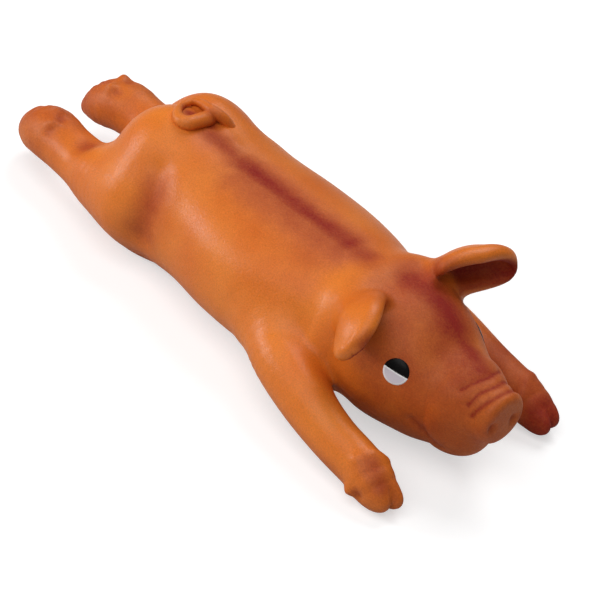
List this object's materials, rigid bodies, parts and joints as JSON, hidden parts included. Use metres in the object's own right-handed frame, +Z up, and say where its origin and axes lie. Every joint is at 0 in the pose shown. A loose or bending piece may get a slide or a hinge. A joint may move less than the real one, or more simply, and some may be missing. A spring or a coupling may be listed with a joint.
{
  "type": "latex pig dog toy",
  "caption": "Latex pig lying on its belly, a stuffed squeaky dog toy with a pressable back, and a head, ears, legs and tail that bend.",
  "frame": {"origin": "middle of the flat of the belly, on the surface that the toy lies on", "axes": "+X towards the snout, +Y to the pig's left, +Z up"},
  "size_m": [0.2365, 0.095, 0.0594],
  "materials": {
    "latex": "soft satin latex, airbrushed red brown in the folds",
    "plug_latex": "satin latex",
    "wadding": "white polyester fibre",
    "eye_white": "gloss white",
    "eye_black": "gloss black",
    "bulb_plastic": "milky soft plastic",
    "reed_plastic": "plain moulded plastic"
  },
  "bodies": {
    "torso": {"torso_skin": "latex", "belly_plug": "plug_latex", "lower_wadding": "wadding", "upper_wadding": "wadding", "squeaker_bulb": "bulb_plastic", "reed_holder": "reed_plastic", "reed_cap": "reed_plastic"},
    "back": {"back_panel": "latex"},
    "reed": {"squeaker_reed": "reed_plastic"},
    "head": {"head_skin": "latex", "head_wadding": "wadding", "right_eye_white": "eye_white", "right_eye_black": "eye_black", "left_eye_white": "eye_white", "left_eye_black": "eye_black"},
    "right_ear": {"right_ear": "latex"},
    "left_ear": {"left_ear": "latex"},
    "right_front_leg": {"right_front_leg": "latex", "right_front_wadding": "wadding"},
    "left_front_leg": {"left_front_leg": "latex", "left_front_wadding": "wadding"},
    "right_hind_leg": {"right_hind_leg": "latex", "right_hind_wadding": "wadding"},
    "left_hind_leg": {"left_hind_leg": "latex", "left_hind_wadding": "wadding"},
    "tail": {"tail": "latex"}
  },
  "joints": [
    {"name": "back_squeeze", "type": "slide", "parent": "torso", "child": "back", "axis": [0, 0, -1], "range_m": [0, 0.008], "stiffness_N_per_m": 400, "deforming": ["upper_wadding", "squeaker_bulb"]},
    {"name": "reed_flex", "type": "hinge", "parent": "torso", "child": "reed", "pos_m": [0.0135, 0, 0.0216], "axis": [0, 1, 0], "range_deg": [0, 6]},
    {"name": "head_nod", "type": "hinge", "parent": "torso", "child": "head", "pos_m": [0.0465, 0, 0.026], "axis": [0, -1, 0], "range_deg": [-2, 15], "stiffness_Nm_per_rad": 2},
    {"name": "right_ear_flap", "type": "hinge", "parent": "head", "child": "right_ear", "pos_m": [0.059, -0.01425, 0.04731], "axis": [-1, 0, 0], "range_deg": [-8, 25], "stiffness_Nm_per_rad": 0.05},
    {"name": "left_ear_flap", "type": "hinge", "parent": "head", "child": "left_ear", "pos_m": [0.059, 0.01425, 0.04731], "axis": [1, 0, 0], "range_deg": [-8, 25], "stiffness_Nm_per_rad": 0.05},
    {"name": "right_front_splay", "type": "hinge", "parent": "torso", "child": "right_front_leg", "pos_m": [0.03, -0.026, 0.019], "axis": [0, 0, -1], "range_deg": [0, 24], "stiffness_Nm_per_rad": 0.5},
    {"name": "left_front_splay", "type": "hinge", "parent": "torso", "child": "left_front_leg", "pos_m": [0.03, 0.026, 0.019], "axis": [0, 0, 1], "range_deg": [0, 24], "stiffness_Nm_per_rad": 0.5},
    {"name": "right_hind_splay", "type": "hinge", "parent": "torso", "child": "right_hind_leg", "pos_m": [-0.062, -0.019, 0.019], "axis": [0, 0, 1], "range_deg": [-2, 18], "stiffness_Nm_per_rad": 0.5},
    {"name": "left_hind_splay", "type": "hinge", "parent": "torso", "child": "left_hind_leg", "pos_m": [-0.062, 0.019, 0.019], "axis": [0, 0, -1], "range_deg": [-2, 18], "stiffness_Nm_per_rad": 0.5},
    {"name": "tail_lift", "type": "hinge", "parent": "torso", "child": "tail", "pos_m": [-0.0375, 0.0045, 0.05247], "axis": [0, 1, 0], "range_deg": [0, 30], "stiffness_Nm_per_rad": 0.02}
  ],
  "couplings": [
    {"joint": "reed_flex", "follows": "back_squeeze", "rad_per_m": 13}
  ]
}
